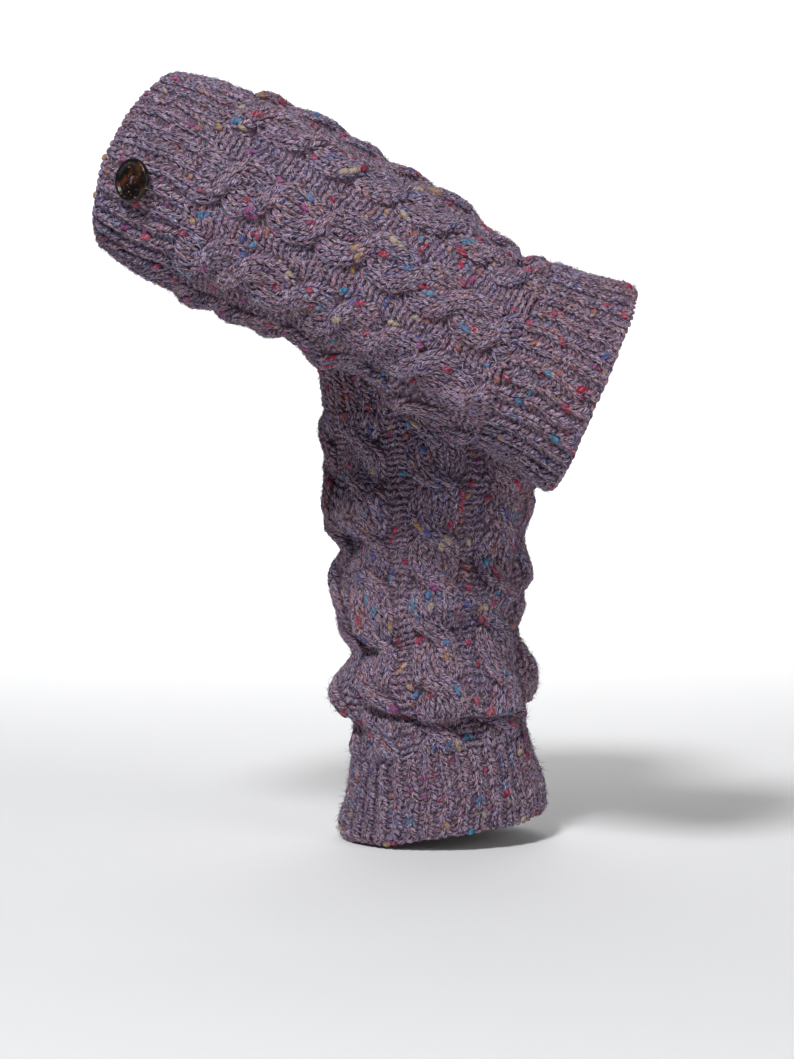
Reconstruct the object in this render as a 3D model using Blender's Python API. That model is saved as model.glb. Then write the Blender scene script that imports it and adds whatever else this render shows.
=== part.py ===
# A pair of hand knitted leg warmers with rope cables, each a hollow tube. The one called
# standing is upright and slouched into soft rings. The one called raised is drawn smooth
# and slants down in front of it, from upper left to lower right.
# Metres, +Z up. The origin is the centre of the standing one's top mouth, +Y points away
# from the front and +X to the right. Each tube is knitted in the round: a ribbed band, a
# cabled part and a second ribbed band, with a coconut button sewn on the upper band.

import bpy
import math
import numpy as np

MM = 0.001

# Stitches: 72 round, as 8 repeats of a 6 stitch rope cable and 3 purl stitches.
STITCHES_ROUND = 72
PURL_STITCHES = 3
CABLE_STITCHES = 6
CROSSING_ROWS = 6

# Rows, counted down from the upper mouth: ribbed band, cabled part, ribbed band. The
# cabled part is two solids that meet halfway down.
TOP_RIB_END = 10.0
CABLE_MIDDLE = 31.0
ANKLE_RIB_START = 52.0
LAST_ROW = 64.0
SIDE_BY_SIDE_ROW = 10.4
CABLE_FADE_ROWS = 1.6

# How far apart, in rows, two points of the centre line are read to find its direction.
SLOPE_STEP = 0.05

# Thicknesses.
SEAM_GAP = 0.3 * MM
GROUND_WALL = 4.2 * MM
RIB_HEIGHT = 2.6 * MM
STRAND_HEIGHT = 5.0 * MM
STRAND_SWING = 2.2 * MM
STRAND_REACH = 1.6
STRAND_HALF_STITCHES = 1.78
STRAND_EASE = 0.8
LIP_ROUNDING = 1.3 * MM
LIP_ROWS = 0.5

# Mesh rings: rows of the rings in each band, spans down half the cabled part, points round the
# inside, points to a rib, and the points across one cable repeat, which crowd onto the
# rope: they reach so many stitches to either side of the cable's middle.
TOP_RIB_ROWS = (0.0, LIP_ROWS, 5.2, TOP_RIB_END)
ANKLE_RIB_ROWS = (ANKLE_RIB_START, 55.5, 59.5, LAST_ROW - LIP_ROWS, LAST_ROW)
HALF_LEG_SPANS = 16
LEG_INSIDE_STEP = 2
INSIDE_POINTS = 18
RIB_POINTS = 4
CABLE_POINTS = 9
CABLE_POINTS_REACH = 3.4

# Buttons: the row of the button's middle, and the turned profile from its back edge round
# the raised rim to the sunk middle, in millimetres. On its thread it leans, so that its face
# turns towards the mouth.
BUTTON_ROW = 4.6
BUTTON_RADIUS = 13.0 * MM
BUTTON_SEGMENTS = 24
BUTTON_HOLE_RADIUS = 1.3 * MM
BUTTON_HOLE_OFFSET = 3.2 * MM
BUTTON_HOLE_SEGMENTS = 12
BUTTON_CUTTER_OVERRUN = 2.0 * MM
BUTTON_PROFILE_COLUMNS = ("radius", "height")
BUTTON_PROFILE = [
    (11.6, 0.0),
    (12.6, 0.7),
    (13.0, 1.9),
    (12.8, 3.2),
    (12.1, 4.1),
    (11.2, 4.3),
    (10.3, 3.9),
    (9.4, 3.0),
    (8.4, 2.7),
]

# Cross sections, in millimetres. half_width and half_depth reach the plain ground between
# the ribs and cables, and tilt turns the ring about the Y axis, in degrees.
SECTION_COLUMNS = ("row", "x", "y", "z", "half_width", "half_depth", "tilt")
RAISED_SECTIONS = [
    (0.0, -172, -101.5, 102, 55.5, 49.5, 0),
    (4.5, -152, -109.5, 93, 60.5, 57.0, 0),
    (10.0, -128, -115, 82.5, 62.0, 58.5, 0),
    (16.4, -98.5, -120, 70.5, 61.0, 58.0, 0),
    (22.4, -72.5, -125, 57, 60.0, 57.0, 0),
    (28.4, -46, -129, 43.5, 57.0, 54.5, 0),
    (34.4, -20, -133, 30, 56.0, 53.5, 0),
    (40.4, 4, -136, 14.5, 54.5, 52.5, 0),
    (46.4, 28, -139, -1.5, 53.5, 51.5, -1),
    (52.0, 52.5, -141, -13.5, 57.0, 54.0, -2),
    (58.0, 78.5, -143, -25, 60.0, 56.5, -3),
    (61.0, 89.5, -144, -30.5, 63.5, 58.5, -3.5),
    (64.0, 99.5, -144, -35.5, 64.0, 59.0, -3.5),
]
STANDING_SECTIONS = [
    (0.0, 0, 0, 0, 67.0, 62.0, 0),
    (10.0, 2.5, 0, -48, 65.5, 61.0, -2),
    (18.0, 4.5, 0, -89.5, 62.0, 58.0, -4),
    (22.0, 3.5, 0, -111, 63.0, 58.5, -5),
    (28.7, 4.5, 0, -146, 54.0, 52.0, -1),
    (33.8, 3.5, 0, -173, 57.5, 55.0, -1.5),
    (39.6, 6, 0, -203.5, 49.5, 49.5, -3.6),
    (44.5, 7, 0, -229.5, 59.0, 56.5, -3.6),
    (48.0, 7.5, 0, -248, 49.0, 49.0, -4.5),
    (52.0, 9.5, 0, -269, 55.0, 53.0, -5),
    (56.0, 10.5, 0, -286, 58.5, 55.5, -6),
    (60.0, 11.5, 0, -302.5, 64.0, 59.5, -7),
    (64.0, 11.5, 0, -320, 65.5, 61.0, -7.6),
]

# Folds: each is a soft ridge, or a trough where rise is negative. angle is measured from
# the front towards the upper or right side, reach is its half length round the tube,
# climb is how many rows it drifts over 90 degrees, and spread is its half width in rows.
FOLD_COLUMNS = ("row", "angle", "reach", "rise", "spread", "climb")
RAISED_FOLDS = [
    (25.4, -85, 55, -5.0, 1.7, 1.0),
    (31.0, -85, 55, 3.0, 2.4, 0.0),
    (37.2, -85, 55, -4.5, 1.9, -1.0),
    (34.4, 85, 45, 1.5, 2.0, 1.0),
    (42.0, 85, 45, -3.5, 2.4, 0.0),
    (47.8, 85, 55, -7.0, 2.3, 0.5),
    (43.5, -80, 50, 2.5, 2.2, 0.0),
    (27.5, 170, 50, -4.0, 2.0, 1.5),
    (40.5, 160, 55, -4.5, 2.1, -1.0),
    (47.0, -10, 40, -2.0, 1.8, 0.8),
]
STANDING_FOLDS = [
    (24.8, -62, 40, -6.0, 1.3, 1.0),
    (22.0, -60, 40, 2.5, 1.6, 1.0),
    (46.6, -24, 46, -8.0, 1.25, 4.6),
    (47.3, 42, 48, -8.0, 1.25, 0.3),
    (43.8, 4, 66, 4.5, 1.8, 2.0),
    (28.0, 20, 60, -3.5, 1.5, 1.5),
    (34.5, 62, 40, 2.5, 1.8, -1.0),
    (38.2, -48, 42, -4.5, 1.4, 2.0),
    (30.5, 165, 60, -4.0, 1.8, 1.5),
    (41.5, 190, 55, -4.0, 1.7, -1.5),
    (24.0, 150, 45, 3.0, 2.0, 1.0),
    (36.5, 200, 45, 2.5, 1.8, 0.5),
]

# Each leg warmer: the angle of its front cable, the button's own angle and its lean.
LEGS = {
    "raised": {
        "sections": RAISED_SECTIONS,
        "folds": RAISED_FOLDS,
        "cable_angle": 9.0,
        "button_angle": -10.6,
        "button_lean": 15.0,
    },
    "standing": {
        "sections": STANDING_SECTIONS,
        "folds": STANDING_FOLDS,
        "cable_angle": 2.0,
        "button_angle": 180.0,
        "button_lean": 0.0,
    },
}

# Finishes: colour, roughness and metallic value.
YARN = ((0.24, 0.18, 0.21), 0.95, 0.0)
COCONUT = ((0.055, 0.025, 0.013), 0.28, 0.0)


def column_arrays(table, columns):
    values = np.array(table, dtype=float).T
    return dict(zip(columns, values))


def smooth_between(at, stations, values):
    # A cubic through the stations, whose slope at each is that of its neighbours.
    slopes = np.gradient(values, stations)
    k = np.clip(np.searchsorted(stations, at, side="right") - 1, 0, len(stations) - 2)
    step = stations[k + 1] - stations[k]
    t = (at - stations[k]) / step
    start = (1 + 2 * t) * (1 - t) ** 2 * values[k] + t * (1 - t) ** 2 * step * slopes[k]
    end = t * t * (3 - 2 * t) * values[k + 1] - t * t * (1 - t) * step * slopes[k + 1]
    return start + end


def soft_step(t):
    t = np.clip(t, 0.0, 1.0)
    return t * t * (3.0 - 2.0 * t)


def unit(vectors):
    return vectors / np.linalg.norm(vectors, axis=-1, keepdims=True)


def section_frames(leg, rows):
    # Centre, sideways and forward directions, and the two half sizes of each ring.
    table = column_arrays(leg["sections"], SECTION_COLUMNS)
    read = {name: smooth_between(rows, table["row"], table[name]) for name in SECTION_COLUMNS}
    centre = np.stack([read["x"], read["y"], read["z"]], axis=-1) * MM
    ends = []
    for shifted in (rows - SLOPE_STEP, rows + SLOPE_STEP):
        ends.append([smooth_between(shifted, table["row"], table[name]) for name in "xyz"])
    along = unit(np.stack(ends[1], axis=-1) - np.stack(ends[0], axis=-1))
    to_front = np.array([0.0, -1.0, 0.0])
    side = unit(np.cross(to_front, along))
    tilt = np.radians(read["tilt"])[:, None]
    side = side * np.cos(tilt) + along * np.sin(tilt)
    front = unit(to_front - np.sum(to_front * along, axis=-1, keepdims=True) * along)
    return centre, side, front, read["half_width"] * MM, read["half_depth"] * MM


def fold_height(leg, rows, angles):
    # The sum of the folds, each a bell along the tube times a rounded window round it.
    height = np.zeros((len(rows), len(angles)))
    for row, angle, reach, rise, spread, climb in leg["folds"]:
        turn = (np.degrees(angles) - angle + 180.0) % 360.0 - 180.0
        window = np.cos(np.clip(turn / reach, -1.0, 1.0) * math.pi / 2) ** 2
        away = (rows[:, None] - row - climb * turn / 90.0) / spread
        height += rise * MM * np.exp(-away ** 2) * window
    return height


def rib_height(stitches):
    # Even stitches stand up as knit ribs and odd ones sink as purl furrows.
    return RIB_HEIGHT * (0.5 + 0.5 * np.cos(math.pi * stitches))


def rope_height(rows, stitches):
    # Two strands swing about the cable's centre in opposite phase and cross every six rows.
    repeat = CABLE_STITCHES + PURL_STITCHES
    across = (stitches + repeat / 2) % repeat - repeat / 2
    phase = math.pi * (rows[:, None] - SIDE_BY_SIDE_ROW) / CROSSING_ROWS
    strands = []
    for sign in (-1.0, 1.0):
        swing = np.cos(phase) * math.hypot(1.0, STRAND_EASE) / np.hypot(np.cos(phase), STRAND_EASE)
        centre = sign * STRAND_REACH * swing
        top = STRAND_HEIGHT - sign * STRAND_SWING * np.sin(phase)
        off = (across - centre) / STRAND_HALF_STITCHES
        strands.append(top * np.sqrt(np.clip(1.0 - off ** 2, 0.0, 1.0)))
    return np.maximum(*strands)


def knit_height(rows, stitches):
    # Ribs stand on the two bands, and the rope fades in and out on the part between them.
    on_band = (rows <= TOP_RIB_END) | (rows >= ANKLE_RIB_START)
    rope_share = soft_step((rows - TOP_RIB_END) / CABLE_FADE_ROWS)
    rope_share = rope_share * soft_step((ANKLE_RIB_START - rows) / CABLE_FADE_ROWS)
    rope_share = rope_share[:, None]
    plain = RIB_HEIGHT / 2 * (1.0 - rope_share)
    height = np.where(on_band[:, None], rib_height(stitches), plain)
    height = height + rope_height(rows, stitches) * rope_share
    to_mouth = np.minimum(rows, LAST_ROW - rows)
    return height - LIP_ROUNDING * (1.0 - soft_step(to_mouth / LIP_ROWS))[:, None]


def ring_points(leg, rows, stitches, relief):
    # Points of the rings at these rows, with the relief added along the ring's own normal.
    centre, side, front, half_width, half_depth = section_frames(leg, rows)
    angles = math.radians(leg["cable_angle"]) + 2 * math.pi * stitches / STITCHES_ROUND
    sine = np.sin(angles)[None, :, None]
    cosine = np.cos(angles)[None, :, None]
    side = side[:, None, :]
    front = front[:, None, :]
    half_width = half_width[:, None, None]
    half_depth = half_depth[:, None, None]
    ground = centre[:, None, :] + side * half_width * sine + front * half_depth * cosine
    normal = unit(side * sine / half_width + front * cosine / half_depth)
    lift = relief + fold_height(leg, rows, angles)
    return ground + normal * lift[:, :, None], normal


def outer_points(leg, rows, stitches):
    return ring_points(leg, rows, stitches, knit_height(rows, stitches))[0]


def inner_points(leg, rows):
    stitches = np.arange(INSIDE_POINTS) * (STITCHES_ROUND / INSIDE_POINTS)
    relief = np.full((len(rows), len(stitches)), -GROUND_WALL)
    return ring_points(leg, rows, stitches, relief)[0]


def rib_stitches():
    # Every rib is two stitches wide and gets the same number of points.
    return np.arange(0.0, STITCHES_ROUND, 2.0 / RIB_POINTS)


def cable_stitches():
    # The points of one repeat crowd onto the rope and leave the flat purl gutter bare.
    repeat = CABLE_STITCHES + PURL_STITCHES
    middles = np.arange(0.0, STITCHES_ROUND, repeat)
    places = np.linspace(-CABLE_POINTS_REACH, CABLE_POINTS_REACH, CABLE_POINTS)
    return (middles[:, None] + places[None, :]).reshape(-1)


def grid_faces(first, rings, points, flip):
    faces = []
    for ring in range(rings - 1):
        for point in range(points):
            after = (point + 1) % points
            low = first + ring * points
            high = low + points
            face = (low + point, high + point, high + after, low + after)
            faces.append(face[::-1] if flip else face)
    return faces


def rim_faces(outer_first, outer_count, inner_first, flip):
    # Joins the many points of an outer ring to the fewer points of the inner one.
    share = outer_count // INSIDE_POINTS
    faces = []
    for group in range(INSIDE_POINTS):
        near = inner_first + group
        far = inner_first + (group + 1) % INSIDE_POINTS
        outer = [outer_first + (group * share + k) % outer_count for k in range(share + 1)]
        strip = [(outer[share // 2], far, near)]
        for k in range(share):
            strip.append((outer[k], outer[k + 1], near if k < share // 2 else far))
        faces += [face[::-1] if flip else face for face in strip]
    return faces


def add_material(piece, finish):
    colour, roughness, metallic = finish
    material = bpy.data.materials.new(piece.name)
    material.use_nodes = True
    shader = material.node_tree.nodes["Principled BSDF"]
    shader.inputs["Base Color"].default_value = (*colour, 1.0)
    shader.inputs["Roughness"].default_value = roughness
    shader.inputs["Metallic"].default_value = metallic
    material.diffuse_color = (*colour, 1.0)
    piece.data.materials.append(material)


def add_object(name, mesh, finish):
    piece = bpy.data.objects.new(name, mesh)
    bpy.context.scene.collection.objects.link(piece)
    add_material(piece, finish)
    mesh.shade_smooth()
    return piece


def add_tube(name, leg, rows, stitches, inside_step):
    # A closed wall: the knitted outside, the plain inside and a rim at either end.
    outer = outer_points(leg, rows, stitches)
    inner = inner_points(leg, rows[::inside_step])
    count = len(stitches)
    inner_first = len(rows) * count
    vertices = np.concatenate([outer.reshape(-1, 3), inner.reshape(-1, 3)])
    faces = grid_faces(0, len(rows), count, False)
    faces += grid_faces(inner_first, len(inner), INSIDE_POINTS, True)
    faces += rim_faces(0, count, inner_first, False)
    last_inner = inner_first + (len(inner) - 1) * INSIDE_POINTS
    faces += rim_faces(inner_first - count, count, last_inner, True)
    mesh = bpy.data.meshes.new(name)
    mesh.from_pydata(vertices.tolist(), [], faces)
    mesh.update()
    return add_object(name, mesh, YARN)


def row_pitch(leg, row):
    # Length of one row at this row, along the centre line.
    centre = section_frames(leg, np.array([row - 0.5, row + 0.5]))[0]
    return float(np.linalg.norm(centre[1] - centre[0]))


def button_mesh(name):
    # A turned disc with a raised rim and a sunk middle, back face down at height 0.
    profile = column_arrays(BUTTON_PROFILE, BUTTON_PROFILE_COLUMNS)
    angles = np.arange(BUTTON_SEGMENTS) * 2 * math.pi / BUTTON_SEGMENTS
    radius = profile["radius"][:, None] * MM
    height = np.repeat(profile["height"][:, None] * MM, BUTTON_SEGMENTS, axis=1)
    rings = np.stack([radius * np.cos(angles), radius * np.sin(angles), height], axis=-1)
    levels = len(BUTTON_PROFILE)
    faces = [face[::-1] for face in grid_faces(0, levels, BUTTON_SEGMENTS, False)]
    faces.append(tuple(range(BUTTON_SEGMENTS))[::-1])
    last = (levels - 1) * BUTTON_SEGMENTS
    faces.append(tuple(range(last, last + BUTTON_SEGMENTS)))
    mesh = bpy.data.meshes.new(name)
    mesh.from_pydata(rings.reshape(-1, 3).tolist(), [], faces)
    mesh.update()
    return mesh


def add_hole_cutter(name, button, offset):
    angles = np.arange(BUTTON_HOLE_SEGMENTS) * 2 * math.pi / BUTTON_HOLE_SEGMENTS
    circle = np.stack([np.cos(angles), np.sin(angles)], axis=-1) * BUTTON_HOLE_RADIUS
    top = max(height for radius, height in BUTTON_PROFILE) * MM
    ends = []
    for height in (-BUTTON_CUTTER_OVERRUN, top + BUTTON_CUTTER_OVERRUN):
        level = np.full((BUTTON_HOLE_SEGMENTS, 1), height)
        ends.append(np.concatenate([circle + [offset, 0.0], level], axis=1))
    faces = [face[::-1] for face in grid_faces(0, 2, BUTTON_HOLE_SEGMENTS, False)]
    faces.append(tuple(range(BUTTON_HOLE_SEGMENTS))[::-1])
    faces.append(tuple(range(BUTTON_HOLE_SEGMENTS, 2 * BUTTON_HOLE_SEGMENTS)))
    mesh = bpy.data.meshes.new(name)
    mesh.from_pydata(np.concatenate(ends).tolist(), [], faces)
    cutter = bpy.data.objects.new(name, mesh)
    bpy.context.scene.collection.objects.link(cutter)
    cutter.parent = button
    cutter.hide_render = True
    cutter.display_type = "WIRE"
    cut = button.modifiers.new(name, "BOOLEAN")
    cut.operation = "DIFFERENCE"
    cut.object = cutter


def rib_crest(leg, row, stitch):
    # Where the tops of the ribs would be at this row and stitch.
    return ring_points(leg, np.array([row]), np.array([stitch]), np.full((1, 1), RIB_HEIGHT))[0][0, 0]


def band_surface(leg, rows):
    # The upper band's outside at these rows, straight between its own rings.
    stations = np.array(TOP_RIB_ROWS)
    rings = outer_points(leg, stations, rib_stitches())
    k = np.clip(np.searchsorted(stations, rows, side="right") - 1, 0, len(stations) - 2)
    t = ((rows - stations[k]) / (stations[k + 1] - stations[k]))[:, None, None]
    return rings[k] * (1.0 - t) + rings[k + 1] * t


def add_button(name, leg):
    # The button rests on the ribs: seen along its own leaning axis, its rounded back edge
    # clears the highest point of the band under it by one seam gap.
    row = BUTTON_ROW
    stitch = (leg["button_angle"] - leg["cable_angle"]) / 360.0 * STITCHES_ROUND
    middle = rib_crest(leg, row, stitch)
    reach = BUTTON_RADIUS / row_pitch(leg, row)
    upward = unit(rib_crest(leg, row - reach, stitch) - rib_crest(leg, row + reach, stitch))
    across = unit(rib_crest(leg, row, stitch + 1.0) - rib_crest(leg, row, stitch - 1.0))
    normal = unit(np.cross(across, upward))
    across = np.cross(upward, normal)
    lean = math.radians(leg["button_lean"])
    upward, normal = (
        upward * math.cos(lean) - normal * math.sin(lean),
        normal * math.cos(lean) + upward * math.sin(lean),
    )
    rows = np.linspace(row - reach, row + reach, 2 * BUTTON_SEGMENTS + 1)
    wall = band_surface(leg, rows).reshape(-1, 3) - middle
    height = wall @ normal
    radius = np.linalg.norm(wall - height[:, None] * normal, axis=-1)
    profile = column_arrays(BUTTON_PROFILE, BUTTON_PROFILE_COLUMNS)
    widest = int(np.argmax(profile["radius"])) + 1
    back = np.interp(radius, profile["radius"][:widest] * MM, profile["height"][:widest] * MM)
    rise = (height - back)[radius < BUTTON_RADIUS].max() + SEAM_GAP
    button = add_object(name, button_mesh(name), COCONUT)
    place = np.eye(4)
    place[:3, 0] = across
    place[:3, 1] = upward
    place[:3, 2] = normal
    place[:3, 3] = middle + normal * rise
    button.matrix_world = place.T
    add_hole_cutter(name + "_hole_left", button, -BUTTON_HOLE_OFFSET)
    add_hole_cutter(name + "_hole_right", button, BUTTON_HOLE_OFFSET)


def add_leg_warmer(prefix, leg):
    # Half a seam gap, in rows, is taken off each side of every seam.
    top_gap = SEAM_GAP / 2 / row_pitch(leg, TOP_RIB_END)
    middle_gap = SEAM_GAP / 2 / row_pitch(leg, CABLE_MIDDLE)
    ankle_gap = SEAM_GAP / 2 / row_pitch(leg, ANKLE_RIB_START)
    top_rows = np.array(TOP_RIB_ROWS)
    top_rows[-1] -= top_gap
    ankle_rows = np.array(ANKLE_RIB_ROWS)
    ankle_rows[0] += ankle_gap
    rings = HALF_LEG_SPANS + 1
    upper_rows = np.linspace(TOP_RIB_END + top_gap, CABLE_MIDDLE - middle_gap, rings)
    lower_rows = np.linspace(CABLE_MIDDLE + middle_gap, ANKLE_RIB_START - ankle_gap, rings)
    add_tube(prefix + "_top_rib", leg, top_rows, rib_stitches(), 1)
    add_tube(prefix + "_upper_cables", leg, upper_rows, cable_stitches(), LEG_INSIDE_STEP)
    add_tube(prefix + "_lower_cables", leg, lower_rows, cable_stitches(), LEG_INSIDE_STEP)
    add_tube(prefix + "_ankle_rib", leg, ankle_rows, rib_stitches(), 1)
    add_button(prefix + "_button", leg)


def main():
    for piece in list(bpy.data.objects):
        bpy.data.objects.remove(piece, do_unlink=True)
    for prefix, leg in LEGS.items():
        add_leg_warmer(prefix, leg)
    bpy.context.view_layer.update()


main()
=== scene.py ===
# A pair of hand knitted leg warmers with rope cables. The upright one slouches into soft
# rings and the other is drawn smooth and slants down in front of it. Every stitch is laid
# as its own short length of yarn on the form that the solid model has.
# Metres, +Z up, +Y away from the camera and +X to its right. Rows count down from the top
# mouth of each tube and stitches count round it.
import math

import bpy
import numpy as np
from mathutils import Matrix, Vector


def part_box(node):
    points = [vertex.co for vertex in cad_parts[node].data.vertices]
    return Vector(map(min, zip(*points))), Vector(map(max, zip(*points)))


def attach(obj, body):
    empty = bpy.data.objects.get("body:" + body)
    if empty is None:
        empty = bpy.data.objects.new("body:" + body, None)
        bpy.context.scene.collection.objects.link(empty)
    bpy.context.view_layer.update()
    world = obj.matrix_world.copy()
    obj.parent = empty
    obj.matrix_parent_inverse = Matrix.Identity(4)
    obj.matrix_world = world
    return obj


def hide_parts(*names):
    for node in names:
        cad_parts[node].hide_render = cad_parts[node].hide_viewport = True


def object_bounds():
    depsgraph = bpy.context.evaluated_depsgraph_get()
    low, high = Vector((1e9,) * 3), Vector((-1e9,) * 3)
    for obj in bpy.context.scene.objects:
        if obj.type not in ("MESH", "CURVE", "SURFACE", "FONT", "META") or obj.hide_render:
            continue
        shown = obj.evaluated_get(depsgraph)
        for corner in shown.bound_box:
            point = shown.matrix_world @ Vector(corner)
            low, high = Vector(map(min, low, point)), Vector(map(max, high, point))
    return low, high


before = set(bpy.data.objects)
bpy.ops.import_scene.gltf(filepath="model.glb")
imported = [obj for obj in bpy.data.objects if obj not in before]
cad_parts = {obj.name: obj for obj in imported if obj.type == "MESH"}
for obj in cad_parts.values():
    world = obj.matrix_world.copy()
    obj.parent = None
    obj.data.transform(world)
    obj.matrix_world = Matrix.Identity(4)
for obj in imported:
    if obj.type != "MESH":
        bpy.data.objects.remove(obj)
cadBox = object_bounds()
mm = 0.001


# The form of the two tubes.

knitting = {
    "stitchesRound": 72,
    "repeat": 9,  # a rope of 6 stitches and 3 purl stitches
    "crossingRows": 6,
    "topRibEnd": 10.0,
    "ankleRibStart": 52.0,
    "lastRow": 64.0,
    "sideBySideRow": 10.4,  # two strands lie side by side here, and again each crossing
    "ropeFadeRows": 1.6,
    "rowStep": 0.76,  # one knitted row, in rows of the tables
    "wall": 4.2 * mm,
    "ribHeight": 2.6 * mm,
    "strandHeight": 5.0 * mm,
    "strandSwing": 2.6 * mm,
    "strandReach": 1.52,  # stitches from the rope's middle to a strand's
    "strandHalf": 1.92,  # stitches from a strand's middle to its edge
    "strandEase": 0.8,  # how round the turns of the swing are
    "lipRounding": 1.3 * mm,
    "lipRows": 0.5,
}

# Cross sections: row, centre x, y, z, half width, half depth in millimetres, and the turn
# of the ring about the line of sight in degrees.
raisedSections = [
    (0.0, -172, -101.5, 102, 55.5, 49.5, 0),
    (4.5, -152, -109.5, 93, 60.5, 57.0, 0),
    (10.0, -128, -115, 82.5, 62.0, 58.5, 0),
    (16.4, -98.5, -120, 70.5, 61.0, 58.0, 0),
    (22.4, -72.5, -125, 57, 60.0, 57.0, 0),
    (28.4, -46, -129, 43.5, 57.0, 54.5, 0),
    (34.4, -20, -133, 30, 56.0, 53.5, 0),
    (40.4, 4, -136, 14.5, 54.5, 52.5, 0),
    (46.4, 28, -139, -1.5, 53.5, 51.5, -1),
    (52.0, 52.5, -141, -13.5, 57.0, 54.0, -2),
    (58.0, 78.5, -143, -25, 60.0, 56.5, -3),
    (61.0, 89.5, -144, -30.5, 63.5, 58.5, -3.5),
    (64.0, 99.5, -144, -35.5, 64.0, 59.0, -3.5),
]
uprightSections = [
    (0.0, 0, 0, 0, 67.0, 62.0, 0),
    (10.0, 2.5, 0, -48, 65.5, 61.0, -2),
    (18.0, 4.5, 0, -89.5, 62.0, 58.0, -4),
    (22.0, 3.5, 0, -111, 63.0, 58.5, -5),
    (28.7, 4.5, 0, -146, 54.0, 52.0, -1),
    (33.8, 3.5, 0, -173, 57.5, 55.0, -1.5),
    (39.6, 6, 0, -203.5, 49.5, 49.5, -3.6),
    (44.5, 7, 0, -229.5, 59.0, 56.5, -3.6),
    (48.0, 7.5, 0, -248, 49.0, 49.0, -4.5),
    (52.0, 9.5, 0, -269, 55.0, 53.0, -5),
    (56.0, 10.5, 0, -286, 58.5, 55.5, -6),
    (60.0, 11.5, 0, -302.5, 64.0, 59.5, -7),
    (64.0, 11.5, 0, -320, 65.5, 61.0, -7.6),
]

# Folds: row, angle, reach round the tube, rise in millimetres, spread in rows, and the
# rows that it climbs over 90 degrees.
raisedFolds = [
    (25.4, -85, 55, -5.0, 1.7, 1.0),
    (31.0, -85, 55, 3.0, 2.4, 0.0),
    (37.2, -85, 55, -4.5, 1.9, -1.0),
    (34.4, 85, 45, 1.5, 2.0, 1.0),
    (42.0, 85, 45, -3.5, 2.4, 0.0),
    (47.8, 85, 55, -7.0, 2.3, 0.5),
    (43.5, -80, 50, 2.5, 2.2, 0.0),
    (27.5, 170, 50, -4.0, 2.0, 1.5),
    (40.5, 160, 55, -4.5, 2.1, -1.0),
    (47.0, -10, 40, -2.0, 1.8, 0.8),
]
uprightFolds = [
    (24.8, -62, 40, -6.0, 1.3, 1.0),
    (22.0, -60, 40, 2.5, 1.6, 1.0),
    (46.9, -24, 50, -10.0, 1.1, 4.6),
    (47.6, 42, 52, -10.0, 1.1, 0.3),
    (43.8, 4, 66, 5.0, 1.8, 2.0),
    (28.0, 20, 60, -3.5, 1.5, 1.5),
    (34.5, 62, 40, 2.5, 1.8, -1.0),
    (38.2, -48, 42, -4.5, 1.4, 2.0),
    (30.5, 165, 60, -4.0, 1.8, 1.5),
    (41.5, 190, 55, -4.0, 1.7, -1.5),
    (24.0, 150, 45, 3.0, 2.0, 1.0),
    (36.5, 200, 45, 2.5, 1.8, 0.5),
    (46.6, 60, 150, 5.0, 1.1, 0.0),
    (46.4, -105, 130, 4.5, 1.1, 1.0),
    (44.0, 30, 170, -2.0, 1.3, 0.0),
]

# Where a ridge hangs over the crease below it: row, angle, reach round the tube, slump down
# the tube in millimetres, spread in rows, and the rows that it climbs over 90 degrees.
raisedSlumps = [
    (24.6, -85, 60, 1.8, 0.9, 1.0),
    (36.3, -85, 60, 1.8, 0.9, -1.0),
    (46.6, 85, 60, 2.4, 1.0, 0.5),
]
uprightSlumps = [
    (45.8, 75, 110, 6.5, 1.0, 0.0),
    (45.6, -105, 110, 6.5, 1.0, 1.2),
    (45.6, -24, 55, 5.0, 0.8, 4.6),
    (46.3, 42, 55, 5.0, 0.8, 0.3),
    (23.9, -62, 50, 4.0, 0.8, 1.0),
    (37.2, -48, 50, 3.4, 0.8, 2.0),
    (27.2, 20, 60, 3.0, 0.9, 1.5),
    (40.4, 190, 60, 4.6, 0.9, -1.5),
    (29.4, 165, 55, 3.0, 0.9, 1.5),
]
lumpFade = {"startRow": 8, "endRow": 54, "rows": 8}

# Sums of sine waves that keep the knitting uneven: size, phase for a row, phase for a
# radian round the tube, and phase at the start, to which the first adds the tube's seed.
lumpWaves = [(1.0, 0.62, 3, 0.0), (1.0, 0.47, -4, 0.0), (1.0, 0.93, 2, 1.3)]
columnWaves = [(0.24, 0.5, 2, 0.0), (0.10, 1.1, -5, 0.0), (0.05, 1.9, 7, 1.0)]  # stitches
rowWaves = [(0.16, 0.0, 4, 0.0), (0.10, 0.5, 9, 0.0)]  # rows

legWarmers = {
    "raised": {"sections": raisedSections, "folds": raisedFolds, "slumps": raisedSlumps,
               "cableAngle": 9.0, "lumps": 0.4 * mm, "held": "stretched", "seed": 11},
    "standing": {"sections": uprightSections, "folds": uprightFolds, "slumps": uprightSlumps,
                 "cableAngle": 2.0, "lumps": 2.1 * mm, "held": "gathered", "seed": 23},
}


def smoothBetween(at, stations, values):
    # A cubic through the stations, whose slope at each is that of its neighbours.
    slopes = np.gradient(values, stations)
    k = np.clip(np.searchsorted(stations, at, side="right") - 1, 0, len(stations) - 2)
    step = stations[k + 1] - stations[k]
    t = (at - stations[k]) / step
    start = (1 + 2 * t) * (1 - t) ** 2 * values[k] + t * (1 - t) ** 2 * step * slopes[k]
    end = t * t * (3 - 2 * t) * values[k + 1] - t * t * (1 - t) * step * slopes[k + 1]
    return start + end


def softStep(t):
    # 0 below 0, 1 above 1, and 3 t squared less 2 t cubed between.
    t = np.clip(t, 0.0, 1.0)
    return t * t * (3.0 - 2.0 * t)


def stacked(arrays):
    # Stacks arrays along a new last axis.
    return np.stack(arrays, axis=-1)


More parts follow.
